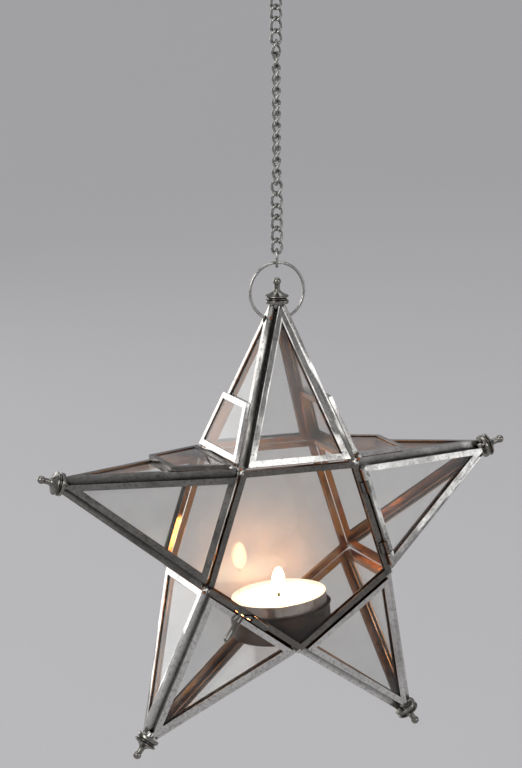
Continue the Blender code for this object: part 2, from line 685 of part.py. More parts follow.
def link_heights():
    """Heights of the centres of the chain's links, from the hook down."""
    heights = [hanging(EYE_BOTTOM, HOOK_WIRE, LINK_WIRE) - LINK_HALF_LENGTH]
    for index in range(1, SEGMENTS * LINKS_PER_SEGMENT):
        gap = LINK_GAP if index % LINKS_PER_SEGMENT == 0 else -LINK_LAP
        crown = hanging(heights[-1] - LINK_HALF_LENGTH, LINK_WIRE, LINK_WIRE, gap)
        heights.append(crown - LINK_HALF_LENGTH)
    return heights


def full_oval(half_width, half_length, steps):
    """Points of an oval whose ends are fuller than an ellipse's: across and up."""
    points = []
    for step in range(steps):
        angle = 2 * math.pi * step / steps
        across = math.copysign(abs(math.cos(angle)) ** OVAL_POWER, math.cos(angle))
        up = math.copysign(abs(math.sin(angle)) ** OVAL_POWER, math.sin(angle))
        points.append((half_width * across, half_length * up))
    return points


def link_path():
    """Centre line of one twisted link."""
    points = []
    for across, up in full_oval(LINK_HALF_WIDTH, LINK_HALF_LENGTH, LINK_POINTS):
        turn = LINK_TWIST * up / LINK_HALF_LENGTH
        points.append((across * math.cos(turn), across * math.sin(turn), up))
    return points


def make_segment(segment, heights):
    """Three links of the chain, joined where they bear on each other."""
    links = []
    for index in range(segment * LINKS_PER_SEGMENT, (segment + 1) * LINKS_PER_SEGMENT):
        matrix = Matrix.Translation((0, 0, heights[index])) @ Matrix.Rotation(link_yaw(index), 4, 'Z')
        links.append(wire("link", link_path(), LINK_WIRE, True, matrix, LINK_STEPS))
    body = links[0]
    for other in links[1:]:
        combine(body, other, 'UNION')
    body.name = "chain_links_" + str(segment + 1)
    return body


def crown_axis(index, heights, end):
    """Matrix on a link's top (1) or bottom (-1) crown, X along its wire."""
    height = heights[index] + end * LINK_HALF_LENGTH
    return Matrix.Translation((0, 0, height)) @ Matrix.Rotation(link_yaw(index) + end * LINK_TWIST, 4, 'Z')


def make_chain(heights):
    """The chain's segments, each hinged on the one above. Returns the last carrier."""
    carrier = HOOK_BODY
    for segment in range(SEGMENTS):
        first = segment * LINKS_PER_SEGMENT
        if segment == 0:
            axis = Matrix.Translation((0, 0, EYE_BOTTOM)) @ Matrix.Rotation(hook_yaw(), 4, 'Z')
        elif segment % 2:
            axis = crown_axis(first, heights, 1)
        else:
            axis = crown_axis(first - 1, heights, -1)
        carrier = new_empty("chain_axis_" + str(segment + 1), axis, carrier)
        finish(make_segment(segment, heights), STEEL_MATERIAL, carrier, smooth=True)
    return carrier


def make_joining_link():
    """Plain oval link between the chain and the ring."""
    oval = full_oval(JOINING_HALF_WIDTH, JOINING_HALF_LENGTH, JOINING_POINTS)
    path = [(across, 0, up) for across, up in oval]
    link = wire("joining_link", path, LINK_WIRE, closed=True, matrix=JOINING)
    finish(link, STEEL_MATERIAL, JOINING_BODY, smooth=True)


def make_ring():
    """Split ring through the top point."""
    cut = RING_CUT / 2 / RING_RADIUS
    path = arc(0, 0, RING_RADIUS, RING_CUT_ANGLE + cut, RING_CUT_ANGLE + 2 * math.pi - cut, 40)
    matrix = Matrix.Translation((0, 0, RING_CENTRE))
    ring = wire("hanging_ring", [(x, 0, z) for x, z in path], RING_WIRE, matrix=matrix)
    finish(ring, STEEL_MATERIAL, RING_BODY, smooth=True)


clear_scene()
LANTERN = bpy.data.collections.new("star_lantern")
bpy.context.scene.collection.children.link(LANTERN)

STEEL_MATERIAL = make_material("nickel_silver", STEEL, 1.0, 0.25)
DARK_MATERIAL = make_material("dark_metal", DARK_METAL, 1.0, 0.5)
GLASS_MATERIAL = make_material("clear_glass", GLASS, 0.0, 0.05)
ALUMINIUM_MATERIAL = make_material("thin_aluminium", ALUMINIUM, 1.0, 0.3)
WAX_MATERIAL = make_material("wax", WAX, 0.0, 0.45)
COTTON_MATERIAL = make_material("cotton", COTTON, 0.0, 0.9)

# Heights down the chain
HEIGHTS = link_heights()
LAST = SEGMENTS * LINKS_PER_SEGMENT - 1
JOINING_YAW = (link_yaw(LAST) - LINK_TWIST) / 2
JOINING_TOP = hanging(HEIGHTS[-1] - LINK_HALF_LENGTH, LINK_WIRE, LINK_WIRE)
JOINING_CENTRE = JOINING_TOP - JOINING_HALF_LENGTH
JOINING_BOTTOM = JOINING_CENTRE - JOINING_HALF_LENGTH
JOINING = Matrix.Translation((0, 0, JOINING_CENTRE)) @ Matrix.Rotation(JOINING_YAW, 4, 'Z')
RING_CENTRE = hanging(JOINING_BOTTOM, LINK_WIRE, RING_WIRE) - RING_RADIUS
HOLE_OUTER = (POINT_RADIUS - RING_HOLE_HEIGHT) * BASE_HALF / RISE
HOLE_INNER = HOLE_OUTER - CHANNEL_DEPTH * SIDE_SLANT / RISE
RING_SAG = RING_RADIUS - (math.sqrt(RING_RADIUS ** 2 - HOLE_OUTER ** 2)
                          + math.sqrt(RING_RADIUS ** 2 - HOLE_INNER ** 2)) / 2
HOLE_HEIGHT = RING_CENTRE - RING_RADIUS + RING_SAG
STAR = Matrix.Translation((0, 0, HOLE_HEIGHT - RING_HOLE_HEIGHT))

# The cup's floor rests on the inner corners of the two channels at the bottom notch
CORNER_LIFT = CHANNEL_DEPTH * math.sin(NOTCH_HALF) - SIDE_BASE_INSET * math.cos(NOTCH_HALF)
CORNER_OUT = CHANNEL_DEPTH * math.cos(NOTCH_HALF) + SIDE_BASE_INSET * math.sin(NOTCH_HALF)
CUP_LIFT = (CORNER_OUT + CUP_SHIFT) * math.tan(CUP_TILT)
CUP_BOTTOM = -NOTCH_RADIUS + CORNER_LIFT + CUP_LIFT + CUP_SEAT_GAP
CUP = STAR @ Matrix.Translation((CUP_SHIFT, 0, CUP_BOTTOM)) @ Matrix.Rotation(-CUP_TILT, 4, 'Y')
CANDLE = CUP @ Matrix.Translation((0, 0, CUP_FLOOR + SEAM))

HOOK_BODY = new_empty("hook_carrier", Matrix())
make_hook()
CHAIN_END = make_chain(HEIGHTS)
JOINING_BODY = new_empty("joining_axis", crown_axis(LAST, HEIGHTS, -1), CHAIN_END)
make_joining_link()
RING_AXIS = Matrix.Translation((0, 0, JOINING_BOTTOM)) @ Matrix.Rotation(JOINING_YAW, 4, 'Z')
RING_BODY = new_empty("ring_axis", RING_AXIS, JOINING_BODY)
make_ring()
STAR_BODY = new_empty("star_axis", Matrix.Translation((0, 0, HOLE_HEIGHT)), RING_BODY)
DOOR_BODY = new_empty("door_axis", hinge_matrix(), STAR_BODY)
PULL_BODY = new_empty("pull_axis", barrel_matrix(), DOOR_BODY)
TEALIGHT_BODY = new_empty("tealight_axis", CANDLE, STAR_BODY)

FACES = point_faces()
for point_name in POINT_NAMES:
    make_point(point_name, FACES)
    make_finial(point_name)
for hooded_point, hooded_side in HOODED:
    make_hood(hooded_point, next(face for face in FACES if face[0] == hooded_side))
make_back()
make_door()
make_pull()
make_cup()
make_tealight()
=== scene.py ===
"""Looks of the hanging star lantern: aged silvery channels, wavy glass and a burning tealight."""

import math
import random

import bmesh
import bpy
from mathutils import Matrix, Vector, noise


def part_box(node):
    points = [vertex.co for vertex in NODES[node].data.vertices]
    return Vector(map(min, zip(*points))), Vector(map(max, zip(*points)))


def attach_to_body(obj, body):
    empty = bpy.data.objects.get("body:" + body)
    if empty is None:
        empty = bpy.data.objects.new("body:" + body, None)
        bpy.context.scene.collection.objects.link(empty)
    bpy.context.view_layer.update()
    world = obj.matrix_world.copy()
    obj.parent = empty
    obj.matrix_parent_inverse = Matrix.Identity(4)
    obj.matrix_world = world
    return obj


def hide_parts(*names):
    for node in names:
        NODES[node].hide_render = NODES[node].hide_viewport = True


MM = 0.001
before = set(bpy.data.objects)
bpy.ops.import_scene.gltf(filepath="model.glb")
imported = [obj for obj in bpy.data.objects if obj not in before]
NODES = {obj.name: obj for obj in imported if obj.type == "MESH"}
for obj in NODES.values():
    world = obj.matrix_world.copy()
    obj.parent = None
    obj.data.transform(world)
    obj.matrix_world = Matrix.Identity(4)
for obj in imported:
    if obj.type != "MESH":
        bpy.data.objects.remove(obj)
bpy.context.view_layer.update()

# Star, with the sizes of the part's source: X across, Z up, the front towards -Y
POINT_NAMES = ("top", "left", "lower_left", "lower_right", "right")
NOTCH_RADIUS = 41.8 * MM
POINT_RADIUS = 102.6 * MM
HALF_DEPTH = 23.5 * MM
BACK_FRAME_INSET = 0.7 * MM
EDGE_ANGLE = math.pi / 5
BASE_HEIGHT = NOTCH_RADIUS * math.cos(EDGE_ANGLE)
BASE_HALF = NOTCH_RADIUS * math.sin(EDGE_ANGLE)
RISE = POINT_RADIUS - BASE_HEIGHT
STAR_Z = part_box("back_frame")[1].z - (BASE_HEIGHT - BACK_FRAME_INSET)
STAR_CENTRE = Vector((0, 0, STAR_Z))
STAR = Matrix.Translation(STAR_CENTRE)

# Broken edges of the channels and the hinge pin, and angles in degrees: where a face counts as flat,
# where an edge is broken, and where shading stays sharp
CHANNEL_EDGE = 0.12 * MM
PIN_EDGE = 0.1 * MM
EDGE_SEGMENTS = 2
FLAT_BELOW = 1.0
BROKEN_ABOVE = 30.0
CHANNEL_SHARP = 35.0
TURNED_SHARP = 28.0
TEALIGHT_SHARP = 30.0
WELD = 0.002 * MM
TURNED_WELD = 0.001 * MM

# Finials, from the cap at the foot to the ball at the tip. The cap's and the flange's radii reach to
# the centres of their rounded edges.
FINIAL_LENGTH = 10.2 * MM
CAP_RADIUS = 4.3 * MM
CAP_HEIGHT = 1.45 * MM
CAP_BORE = 2.3 * MM
CAP_BORE_DEPTH = 1.4 * MM
EDGE_ROUND = 0.3 * MM
GROOVE_HEIGHT = 1.15 * MM
GROOVE_ROUND = 0.48 * MM
FLANGE_RADIUS = 4.35 * MM
FLANGE_HEIGHT = 0.7 * MM
FLARE_HEIGHT = 2.3 * MM
FLARE_TOP = 1.2 * MM
FLARE_SPREAD = 3.2 * MM
FLARE_POWER = 1.9
NECK_RADIUS = 1.18 * MM
NECK_HEIGHT = 4.3 * MM
BALL_RADIUS = 1.6 * MM
FLARE_RINGS = 10
FINIAL_STEPS = 56

# Hook, chain, joining link and ring: the radii of their wires, and sizes to the wires' centre lines
PLAY = 0.3 * MM
HOOK_WIRE = 0.9 * MM
HOOK_BOW = 7.0 * MM
HOOK_EYE = 3.5 * MM
HOOK_DROP = 13.0 * MM
HOOK_MOUTH = math.radians(205)
HOOK_EYE_GAP = math.radians(68)
LINKS = 24
LINKS_PER_SEGMENT = 3
LINK_WIRE = 0.6 * MM
LINK_HALF_LENGTH = 2.85 * MM
LINK_HALF_WIDTH = 1.9 * MM
LINK_TWIST = math.radians(45)
HOOK_YAW = LINK_TWIST - math.pi / 2
LINK_BEARING = 0.15 * MM
LINK_POINTS = 36
OVAL_POWER = 0.8
YAW_CENTRES = (6.2, 18.0)
YAW_LINKS = 3.0
JOINING_HALF_LENGTH = 3.3 * MM
JOINING_HALF_WIDTH = 2.0 * MM
RING_RADIUS = 11.3 * MM
RING_WIRE = 0.62 * MM
RING_CUT = 0.25 * MM
RING_CUT_ANGLE = math.radians(78)
RING_POINTS = 96
WIRE_SIDES = 6

# Wick and flame
WICK_LEAN = 0.3 * MM
WICK_BURNT = 0.2 * MM
FLAME_OVERLAP = 2.6 * MM
FLAME_HEIGHT = 10.6 * MM
FLAME_RADIUS = 2.6 * MM
FLAME_MIDDLE = 0.4
FLAME_BELLY = 0.9
FLAME_BLUNT = 0.52
FLAME_RINGS = 20
FLAME_STEPS = 32
WICK_LOW, WICK_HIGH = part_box("tealight_wick")
WICK_TIP = Vector(((WICK_LOW.x + WICK_HIGH.x) / 2 - WICK_LEAN, 0.0, WICK_HIGH.z - WICK_BURNT))
FLAME_FOOT = WICK_TIP - Vector((0, 0, FLAME_OVERLAP))
FLAME = FLAME_FOOT + Vector((0, 0, FLAME_MIDDLE * FLAME_HEIGHT))

# Painted warm light of the flame on inner faces, and painted shade in the metal's grooves
FLAME_GLOW_ENDS = (78 * MM, 88 * MM)
INWARD_FADE = -4 * MM
GROOVE_REACH = 2.6 * MM
GROOVE_SHADE = 0.12

# Solder beads, with the least and largest radius, and orange spots that are painted glints of light, with
# angles in degrees and insets
SOLDER_SEED = 5
NOTCH_BEAD = (1.3 * MM, 1.7 * MM)
NOTCH_BEAD_INSET = 1.4 * MM
NOTCH_BEAD_BACK = 1.5 * MM
HOOD_BEAD = (0.9 * MM, 1.3 * MM)
HOOD_BEAD_INSET = 4.4 * MM
HOOD_BEAD_UP = 2.2 * MM
HOOD_BEAD_OUT = 0.5 * MM
HOOD_SIDES = (("top", -1), ("top", 1), ("left", 1), ("right", -1))
GLINT_RADIUS = 0.6 * MM
GLINT_OUT = 0.3 * MM
GLINT_NOTCHES = ((126, 0.2 * MM), (54, 0.3 * MM), (198, 0.3 * MM))
GLINT_SEEDS = (40, 41, 42, 44)
RIDGE_SHARE = 0.80
RIDGE_INSET = 0.9 * MM
BEAD_SWELL = 0.28
BEAD_LUMPS = 1.6
BEAD_SHIFT = 3.1

# Sweep: a floor below the star that curves up into a backdrop, in metres
SWEEP_DROP = 0.46
SWEEP_HALF_WIDTH = 7.0
SWEEP_FRONT = -6.0
SWEEP_BACK = 3.5
SWEEP_CURVE = 0.9
SWEEP_TOP = 4.0
SWEEP_EMISSION = 0.30
WORLD_LIGHT = 0.17
WORLD_SEEN = 0.62

# Lamps: name, place from the star's centre in metres, width and height, watts, colour
LAMPS = (
    ("left", (-0.72, 1.75, 0.15), (1.1, 1.5), 12.0, (1.0, 0.99, 0.98)),
    ("key", (-1.6, -0.9, 1.0), (1.0, 1.0), 16.0, (1.0, 0.99, 0.97)),
    ("right", (1.75, -0.95, 0.1), (0.5, 1.3), 4.0, (0.96, 0.98, 1.0)),
    ("front", (0.70, -1.7, 0.82), (0.62, 0.78), 3.9, (1.0, 1.0, 1.0)),
    ("above", (0.0, 0.4, 2.0), (2.0, 1.6), 16.0, (1.0, 1.0, 1.0)),
)

# Camera of the photograph: focal length in its pixels, place in metres, turns in degrees
FOCAL_PIXELS = 2862.1
PICTURE_PIXELS = 768.0
SENSOR = 36.0
CAMERA_X = -0.41185
CAMERA_Y = -1.02387
CAMERA_OVER_STAR = 0.2718
CAMERA_YAW = -21.58
CAMERA_DOWN = 10.78
CAMERA_ROLL = -0.3
CAMERA_REACH = 50.0


# Node trees
class Tree:
    """Short-hand for building a node tree."""

    def __init__(self, tree):
        self.tree = tree

    def add(self, kind, **settings):
        node = self.tree.nodes.new("ShaderNode" + kind)
        for key, value in settings.items():
            setattr(node, key, value)
        return node

    def feed(self, source, socket):
        """Give a socket a number, a colour, a vector or another node's output."""
        if isinstance(source, (int, float)):
            socket.default_value = source
        elif isinstance(source, (tuple, Vector)):
            socket.default_value = (*source, 1.0)[:len(socket.default_value)]
        else:
            self.tree.links.new(source, socket)

    def math(self, operation, first, second):
        node = self.add("Math", operation=operation)
        self.feed(first, node.inputs[0])
        self.feed(second, node.inputs[1])
        return node.outputs[0]

    def vector_math(self, operation, first, second, output):
        node = self.add("VectorMath", operation=operation)
        self.feed(first, node.inputs[0])
        self.feed(second, node.inputs[1])
        return node.outputs[output]

    def map_range(self, source, span, result=(0.0, 1.0)):
        """Stretch a span of values over another, and clamp what lies outside."""
        node = self.add("MapRange", clamp=True)
        self.feed(source, node.inputs["Value"])
        for key, value in zip(("From Min", "From Max", "To Min", "To Max"), span + result):
            self.feed(value, node.inputs[key])
        return node.outputs["Result"]

    def seen(self):
        """1 for camera, glossy and transmission rays, which see a background, and 0 for all others."""
        path = self.add("LightPath")
        direct = self.math("MAXIMUM", path.outputs["Is Camera Ray"], path.outputs["Is Transmission Ray"])
        return self.math("MAXIMUM", direct, path.outputs["Is Glossy Ray"])


class Material(Tree):
    """A material around one Principled shader, with noise in the piece's own coordinates."""

    def __init__(self, name):
        self.material = bpy.data.materials.new(name)
        self.material.use_nodes = True
        super().__init__(self.material.node_tree)
        self.shader = self.tree.nodes["Principled BSDF"]
        self.output = self.tree.nodes["Material Output"]
        self.coords = self.add("TexCoord")

    def surface(self, values):
        """Set or link sockets of the shader."""
        for name, value in values.items():
            self.feed(value, self.shader.inputs[name])

    def noise(self, scale, detail=4.0, roughness=0.55, stretch=None):
        node = self.add("TexNoise")
        place = self.coords.outputs["Object"]
        if stretch is not None:
            mapping = self.add("Mapping")
            self.feed(stretch, mapping.inputs["Scale"])
            self.feed(place, mapping.inputs["Vector"])
            place = mapping.outputs["Vector"]
        for key, value in (("Scale", scale), ("Detail", detail), ("Roughness", roughness), ("Vector", place)):
            self.feed(value, node.inputs[key])
        return node.outputs["Fac"]

    def ramp(self, source, stops):
        node = self.add("ValToRGB")
        elements = node.color_ramp.elements
        while len(elements) < len(stops):
            elements.new(0.5)
        for element, (place, colour) in zip(elements, stops):
            element.position = place
            element.color = (*colour, 1.0)
        self.feed(source, node.inputs["Fac"])
        return node.outputs["Color"]

    def mix(self, factor, first, second):
        node = self.add("Mix", data_type='RGBA')
        sockets = (node.inputs["Factor"], node.inputs[6], node.inputs[7])
        for source, socket in zip((factor, first, second), sockets):
            self.feed(source, socket)
        return node.outputs[2]

    def blend(self, factor, first, second):
        """Mix of two shaders."""
        node = self.add("MixShader")
        for source, socket in zip((factor, first, second), node.inputs):
            self.feed(source, socket)
        return node.outputs["Shader"]

    def bump(self, height, strength, distance):
        node = self.add("Bump")
        for key, value in (("Strength", strength), ("Distance", distance), ("Height", height)):
            self.feed(value, node.inputs[key])
        self.feed(node.outputs["Normal"], self.shader.inputs["Normal"])

    def distance(self, place):
        """Distance from a place, for pieces whose own coordinates are the part's."""
        return self.vector_math("DISTANCE", self.coords.outputs["Object"], place, "Value")

    def inward(self):
        """1 on faces that look towards the star's centre, 0 on faces that look away from it."""
        offset = self.vector_math("SUBTRACT", self.coords.outputs["Object"], STAR_CENTRE, "Vector")
        outwards = self.vector_math("DOT_PRODUCT", offset, self.coords.outputs["Normal"], "Value")
        return self.map_range(outwards, (0.0, INWARD_FADE))


# Materials
def metal(name, light, dark, gloss, flame_glow_colour=None, grain=900.0):
    """Aged plated metal: cloudy patina, dark specks, painted shade in grooves and a painted warm glow of the
    flame on inner faces.
    """
    n = Material(name)
    middle = tuple((a + b) / 2 for a, b in zip(light, dark))
    pale = tuple(min(1.0, 1.6 * value) for value in light)
    tone = n.ramp(n.noise(38.0, 5.0, 0.6), ((0.30, middle), (0.55, light)))
    specks = (n.noise(900.0, 5.0, 0.8), (0.50, 0.64), 0.8, dark)
    patches = (n.noise(210.0, 6.0, 0.75), (0.54, 0.70), 0.65, dark)
    rubbed = (n.noise(330.0, 5.0, 0.7), (0.62, 0.74), 0.6, pale)
    for pattern, span, share, colour in (specks, patches, rubbed):
        tone = n.mix(n.map_range(pattern, span, (0.0, share)), tone, colour)
    # Painted light: a warm glow of the flame on the faces that look towards the star's centre
    if flame_glow_colour is not None:
        uneven = n.map_range(n.noise(90.0, 6.0, 0.7), (0.30, 0.60), (0.6, 1.0))
        inner = n.map_range(n.distance(STAR_CENTRE), FLAME_GLOW_ENDS, (1.0, 0.0))
        tone = n.mix(n.math("MULTIPLY", n.inward(), n.math("MULTIPLY", uneven, inner)), tone, flame_glow_colour)
    # Painted shade: ambient occlusion darkens the grooves and corners between the channels
    occlusion = n.add("AmbientOcclusion", samples=4, only_local=True)
    occlusion.inputs["Distance"].default_value = GROOVE_REACH
    unshaded = n.map_range(occlusion.outputs["AO"], (0.55, 0.90))
    tone = n.mix(unshaded, tuple(GROOVE_SHADE * value for value in dark), tone)
    n.surface({
        "Base Color": tone,
        "Metallic": 1.0,
        "Roughness": n.map_range(n.noise(240.0, 5.0, 0.6), (0.3, 0.7), gloss),
    })
    waves = n.math("MULTIPLY", n.noise(30.0, 2.0, 0.45), 4.0)
    pits = n.math("MULTIPLY", n.noise(grain, 3.0, 0.6), 0.03)
    n.bump(n.math("ADD", pits, waves), 1.0, MM)
    return n.material


def glass(name, tint, haze, film, glow, ior=1.22):
    """Thin hand-made glass: faintly wavy and smudged, clear to the lamps' light, with a painted glow of the
    flame.
    """
    n = Material(name)
    # Painted light: an orange glow of the flame, strongest on the glass nearest the flame
    near = n.map_range(n.distance(FLAME), (12 * MM, 46 * MM), (1.0, 0.0))
    uneven = n.map_range(n.noise(45.0, 4.0), (0.35, 0.65), (0.5, 1.0))
    lit = n.math("MULTIPLY", n.math("MULTIPLY", near, near), uneven)
    n.surface({
        "Base Color": n.mix(n.noise(28.0, 3.0), tint, tuple(0.94 * value for value in tint)),
        "Transmission Weight": 1.0,
        "IOR": ior,
        "Roughness": n.map_range(n.noise(120.0, 5.0, 0.7), (0.45, 0.75), (0.0, haze)),
        "Emission Color": (1.0, 0.42, 0.14),
        "Emission Strength": n.math("MULTIPLY", lit, glow),
    })
    n.bump(n.noise(55.0, 2.0, 0.4), 0.25, 0.35 * MM)
    dust = n.add("BsdfDiffuse")
    n.feed((0.74, 0.77, 0.80), dust.inputs["Color"])
    smudges = n.map_range(n.noise(38.0, 6.0, 0.62), (0.42, 0.72), (0.02, 0.16))
    wiped = n.map_range(n.noise(26.0, 5.0, 0.6, (1.0, 1.0, 0.25)), (0.5, 0.7), (0.0, 0.06))
    share = n.math("MULTIPLY", n.math("ADD", smudges, wiped), film)
    dusty = n.blend(share, n.shader.outputs["BSDF"], dust.outputs["BSDF"])
    clear = n.add("BsdfTransparent")
    n.feed((0.93, 0.93, 0.92), clear.inputs["Color"])
    shadow = n.add("LightPath").outputs["Is Shadow Ray"]
    n.feed(n.blend(shadow, dusty, clear.outputs["BSDF"]), n.output.inputs["Surface"])
    return n.material


def lit_wax(name):
    """Wax with painted light of the flame: bright by the wick, warm and dim at the rim."""
    n = Material(name)
    # Painted light: colour and glow fade with the distance from the flame
    gap = n.distance(FLAME)
    colour = n.ramp(n.map_range(gap, (4 * MM, 24 * MM)),
                    ((0.0, (1.0, 0.93, 0.74)), (0.7, (1.0, 0.86, 0.66)), (1.0, (1.0, 0.78, 0.56))))
    n.surface({
        "Base Color": n.mix(n.noise(260.0, 4.0), colour, (0.95, 0.86, 0.72)),
        "Roughness": 0.35,
        "Subsurface Weight": 0.4,
        "Subsurface Radius": (1.0, 0.5, 0.25),
        "Subsurface Scale": 3 * MM,
        "Emission Color": colour,
        "Emission Strength": n.map_range(gap, (4 * MM, 21 * MM), (2.2, 0.55)),
    })
    n.bump(n.noise(150.0, 3.0), 0.15, 0.2 * MM)
    return n.material


def foil(name):
    """Thin aluminium of the tealight, with painted light of the flame inside its rim."""
    n = Material(name)
    # Painted light: a warm glow on the inner faces near the flame
    painted_flame_light = n.map_range(n.distance(FLAME), (16 * MM, 24 * MM), (1.1, 0.5))
    n.surface({
        "Base Color": n.ramp(n.noise(160.0, 4.0), ((0.3, (0.28, 0.235, 0.215)), (0.7, (0.60, 0.53, 0.49)))),
        "Metallic": 1.0,
        "Roughness": n.map_range(n.noise(300.0, 3.0), (0.3, 0.7), (0.25, 0.45)),
        "Emission Color": (1.0, 0.80, 0.58),
        "Emission Strength": n.math("MULTIPLY", n.inward(), painted_flame_light),
    })
    n.bump(n.noise(420.0, 2.0, 0.5, (1.0, 1.0, 0.2)), 0.25, 0.2 * MM)
    return n.material


def cotton(name):
    """Charred wick with a glowing tip."""
    n = Material(name)
    n.surface({
        "Base Color": n.ramp(n.noise(2500.0, 2.0), ((0.3, (0.02, 0.015, 0.01)), (0.7, (0.10, 0.07, 0.05)))),
        "Roughness": 0.9,
        "Emission Color": (1.0, 0.25, 0.05),
        "Emission Strength": n.map_range(n.distance(WICK_TIP), (0.0, 2.6 * MM), (1.6, 0.0)),
    })
    return n.material


def burning(name):
    """Flame: one even, strong glow that lets a little of what is behind it through."""
    n = Material(name)
    n.surface({
        "Base Color": (0.0, 0.0, 0.0),
        "Roughness": 1.0,
        "Specular IOR Level": 0.0,
        "Alpha": 0.9,
        "Emission Color": (1.0, 0.66, 0.30),
        "Emission Strength": 50.0,
    })
    return n.material


CHANNEL_GLOSS = (0.13, 0.27)
FLAME_GLOW_TINT = (0.46, 0.185, 0.045)
SILVER = metal("aged_silver", (0.50, 0.49, 0.47), (0.16, 0.155, 0.145), CHANNEL_GLOSS, FLAME_GLOW_TINT)
# Lit and shaded copies of the same channel metal, given by part: their lighter and darker tones are painted
# light and painted shade
LIT_SILVER = metal("lit_silver", (0.70, 0.69, 0.67), (0.26, 0.25, 0.24), CHANNEL_GLOSS, FLAME_GLOW_TINT)
SHADED_SILVER = metal("shaded_silver", (0.30, 0.29, 0.27), (0.07, 0.066, 0.06), CHANNEL_GLOSS, FLAME_GLOW_TINT)
LIT_HOOD_SILVER = metal("lit_hood_silver", (0.56, 0.55, 0.53), (0.20, 0.19, 0.18), CHANNEL_GLOSS, (0.40, 0.18, 0.06))
SHADED_DOOR_SILVER = metal("shaded_door_silver", (0.20, 0.19, 0.175), (0.05, 0.046, 0.042), CHANNEL_GLOSS, (0.30, 0.125, 0.04))
FINIALS = metal("finial_silver", (0.27, 0.26, 0.235), (0.06, 0.052, 0.045), (0.14, 0.28))
CHAIN = metal("chain_silver", (0.40, 0.40, 0.38), (0.12, 0.12, 0.115), (0.22, 0.38))
RING = metal("ring_silver", (0.52, 0.51, 0.49), (0.18, 0.175, 0.165), (0.16, 0.30))
CUP = metal("dark_antique", (0.070, 0.040, 0.024), (0.020, 0.012, 0.008), (0.3, 0.55))
SOLDER = metal("solder", (0.66, 0.65, 0.62), (0.30, 0.29, 0.27), (0.18, 0.35), grain=500.0)
# Painted glints: an orange metal for the spots that stand in for glints of light
GLINT_METAL = metal("orange_glint_spot", (0.42, 0.17, 0.07), (0.16, 0.06, 0.03), (0.3, 0.5))
GLASS = glass("wavy_glass", (0.93, 0.93, 0.92), haze=0.06, film=0.6, glow=0.06)
DOOR_GLASS = glass("door_glass", (0.95, 0.94, 0.92), haze=0.04, film=0.2, glow=0.0)
BACK_GLASS = glass("back_glass", (0.90, 0.88, 0.86), haze=0.03, film=0.8, glow=0.75, ior=1.5)
FOIL = foil("tealight_foil")
WAX = lit_wax("lit_wax")
WICK = cotton("charred_wick")
FIRE = burning("flame")


# Making pieces
def show(name, data, matrix=None):
    """Put mesh, curve, lamp or camera data in the scene."""
    thing = bpy.data.objects.new(name, data)
    bpy.context.scene.collection.objects.link(thing)
    if matrix is not None:
        thing.matrix_world = matrix
    return thing


def attach(thing, body, node=None):
    """Let a piece move with its body, and stand in for its solid where it has one."""
    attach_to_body(thing, body)
    if node is not None:
        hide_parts(node)


def smooth(mesh, sharp):
    """Smooth shading, except across edges sharper than an angle in degrees."""
    mesh.shade_smooth()
    mesh.set_sharp_from_angle(angle=math.radians(sharp))


def paint(node, material):
    """Give the slots of a node a material."""
    for place in NODES[node].material_slots:
        place.material = material


def dress(node, material, body, edge=0.0):
    """A finer copy of a node: welded, with broken edges and smooth rounds."""
    mesh = NODES[node].data.copy()
    shape = bmesh.new()
    shape.from_mesh(mesh)
    bmesh.ops.remove_doubles(shape, verts=shape.verts, dist=WELD)
    bmesh.ops.dissolve_limit(shape, angle_limit=math.radians(FLAT_BELOW), verts=shape.verts,
                            edges=shape.edges)
    shape.to_mesh(mesh)
    shape.free()
    mesh.materials.clear()
    mesh.materials.append(material)
    smooth(mesh, CHANNEL_SHARP)
    piece = show(node + "_fine", mesh)
    if edge:
        rounding = piece.modifiers.new("edges", 'BEVEL')
        rounding.width = edge
        rounding.segments = EDGE_SEGMENTS
        rounding.limit_method = 'ANGLE'
        rounding.angle_limit = math.radians(BROKEN_ABOVE)
        rounding.harden_normals = True
    attach(piece, body, node)


def wire(name, points, radius, material, body, matrix, closed=False, node=None):
    """Round wire along a row of points."""
    curve = bpy.data.curves.new(name, 'CURVE')
    curve.dimensions = '3D'
    curve.bevel_depth = radius
    curve.bevel_resolution = WIRE_SIDES
    curve.use_fill_caps = not closed
    spline = curve.splines.new('POLY')
    spline.points.add(len(points) - 1)
    for point, place in zip(spline.points, points):
        point.co = (*place, 1)
    spline.use_cyclic_u = closed
    spline.use_smooth = True
    curve.materials.append(material)
    attach(show(name, curve, matrix), body, node)


def turned(name, profile, matrix, steps, material, body, node=None):
    """Solid of revolution about Z."""
    mesh = bpy.data.meshes.new(name)
    shape = bmesh.new()
    verts = [shape.verts.new((x, 0, z)) for x, z in profile]
    edges = [shape.edges.new(pair) for pair in zip(verts, verts[1:])]
    bmesh.ops.spin(shape, geom=verts + edges, cent=(0, 0, 0), axis=(0, 0, 1), angle=2 * math.pi,
                   steps=steps, use_merge=True)
    bmesh.ops.remove_doubles(shape, verts=shape.verts, dist=TURNED_WELD)
    bmesh.ops.recalc_face_normals(shape, faces=shape.faces)
    shape.to_mesh(mesh)
    shape.free()
    smooth(mesh, TURNED_SHARP)
    mesh.materials.append(material)
    attach(show(name, mesh, matrix), body, node)


